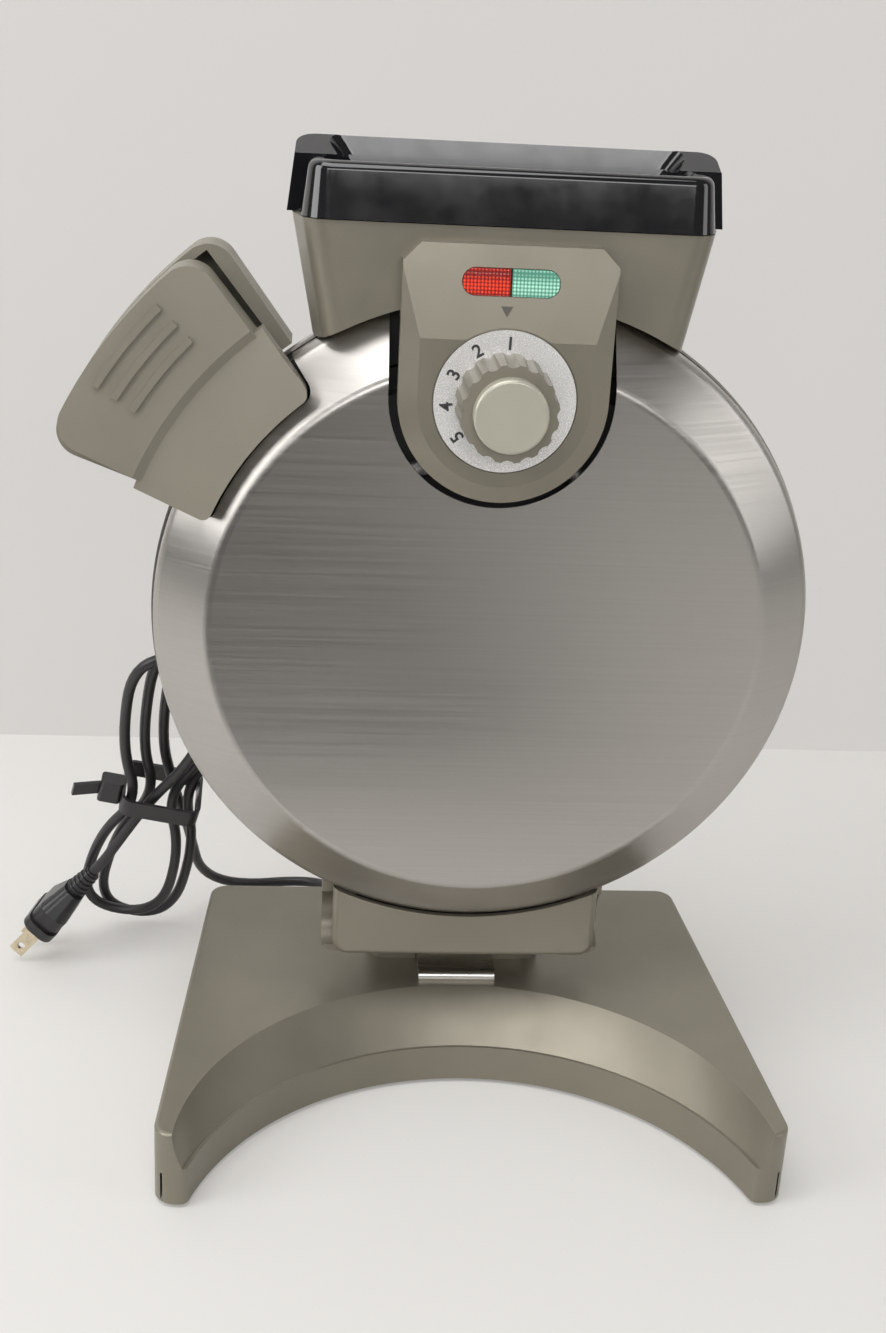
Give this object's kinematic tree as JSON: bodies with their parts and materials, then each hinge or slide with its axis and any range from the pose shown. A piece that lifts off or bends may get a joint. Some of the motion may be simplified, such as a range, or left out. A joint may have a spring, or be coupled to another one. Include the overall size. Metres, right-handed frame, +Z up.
{
  "type": "vertical waffle maker",
  "caption": "Upright round waffle maker on a stand: batter spout on top, front half hinged at the foot, locking handle and heat dial.",
  "frame": {"origin": "on the surface it stands on, under the plane of symmetry and the front rim of the round head", "axes": "+Z up, -Y towards the front (dial side), +X to the right as seen from the front"},
  "size_m": [0.2914, 0.2212, 0.3361],
  "materials": {
    "brushed_steel": "circular brushed, satin",
    "taupe_paint": "satin taupe paint",
    "taupe_plastic": "matte grain",
    "seal_black": "matt",
    "gloss_black": "glossy black",
    "dial_silver": "bright satin",
    "print_black": "printed ink",
    "cap_taupe": "satin light taupe",
    "red_lens": "clear red plastic",
    "green_lens": "clear green plastic",
    "nonstick_aluminium": "dark non-stick coating",
    "heater_steel": "oxidised",
    "reflector_aluminium": "bright",
    "zinc_steel": "zinc plated",
    "circuit_board": "solder mask",
    "lamp": "clear",
    "ceramic": "fired",
    "rubber": "matt",
    "cord_black": "satin PVC",
    "plug_black": "moulded",
    "blade_brass": "nickel plated"
  },
  "bodies": {
    "stand": {"rear_cover": "brushed_steel", "rear_frame": "seal_black", "rear_plate": "nonstick_aluminium", "rear_heater": "heater_steel", "rear_reflector": "reflector_aluminium", "rear_spout_liner": "gloss_black", "rear_spout_housing": "taupe_paint", "rear_handle": "taupe_plastic", "latch_keeper": "zinc_steel", "hinge_pin": "zinc_steel", "rear_hinge_box": "taupe_paint", "base_shell": "taupe_paint", "base_plate": "taupe_paint", "base_screws": "zinc_steel", "rubber_feet": "rubber", "support_column": "taupe_paint", "support_strap": "brushed_steel", "strap_screws": "zinc_steel", "terminal_block": "ceramic", "thermal_fuse": "zinc_steel", "cord_gland": "cord_black", "mains_lead": "cord_black", "cord_hank": "cord_black", "plug_lead": "cord_black", "cord_tie": "plug_black", "plug_body": "plug_black", "plug_blades": "blade_brass"},
    "lid": {"lid_cover": "brushed_steel", "lid_frame": "seal_black", "front_plate": "nonstick_aluminium", "front_heater": "heater_steel", "front_reflector": "reflector_aluminium", "front_spout_liner": "gloss_black", "front_spout_housing": "taupe_paint", "control_panel": "taupe_paint", "red_lens": "red_lens", "green_lens": "green_lens", "lamp_board": "circuit_board", "indicator_lamps": "lamp", "thermostat": "ceramic", "front_hinge_box": "taupe_paint", "handle_mount": "taupe_paint", "lever_pin": "zinc_steel", "lever_spring": "zinc_steel"},
    "lever": {"locking_handle": "taupe_plastic", "latch_hook": "zinc_steel"},
    "dial": {"dial_ring": "dial_silver", "dial_knob": "taupe_plastic", "dial_cap": "cap_taupe", "dial_shaft": "zinc_steel"}
  },
  "joints": [
    {"name": "lid_hinge", "type": "hinge", "parent": "stand", "child": "lid", "pos_m": [0, 0.002, 0.058], "axis": [1, 0, 0], "range_deg": [0, 90]},
    {"name": "lever_release", "type": "hinge", "parent": "lid", "child": "lever", "pos_m": [-0.08298, -0.013, 0.24268], "axis": [0.6088, 0, 0.7934], "range_deg": [0, 12], "stiffness_Nm_per_rad": 0.3, "springref_deg": -5.73},
    {"name": "dial_turn", "type": "hinge", "parent": "lid", "child": "dial", "pos_m": [0, -0.03, 0.261], "axis": [0, 1, 0], "range_deg": [0, 130]}
  ]
}
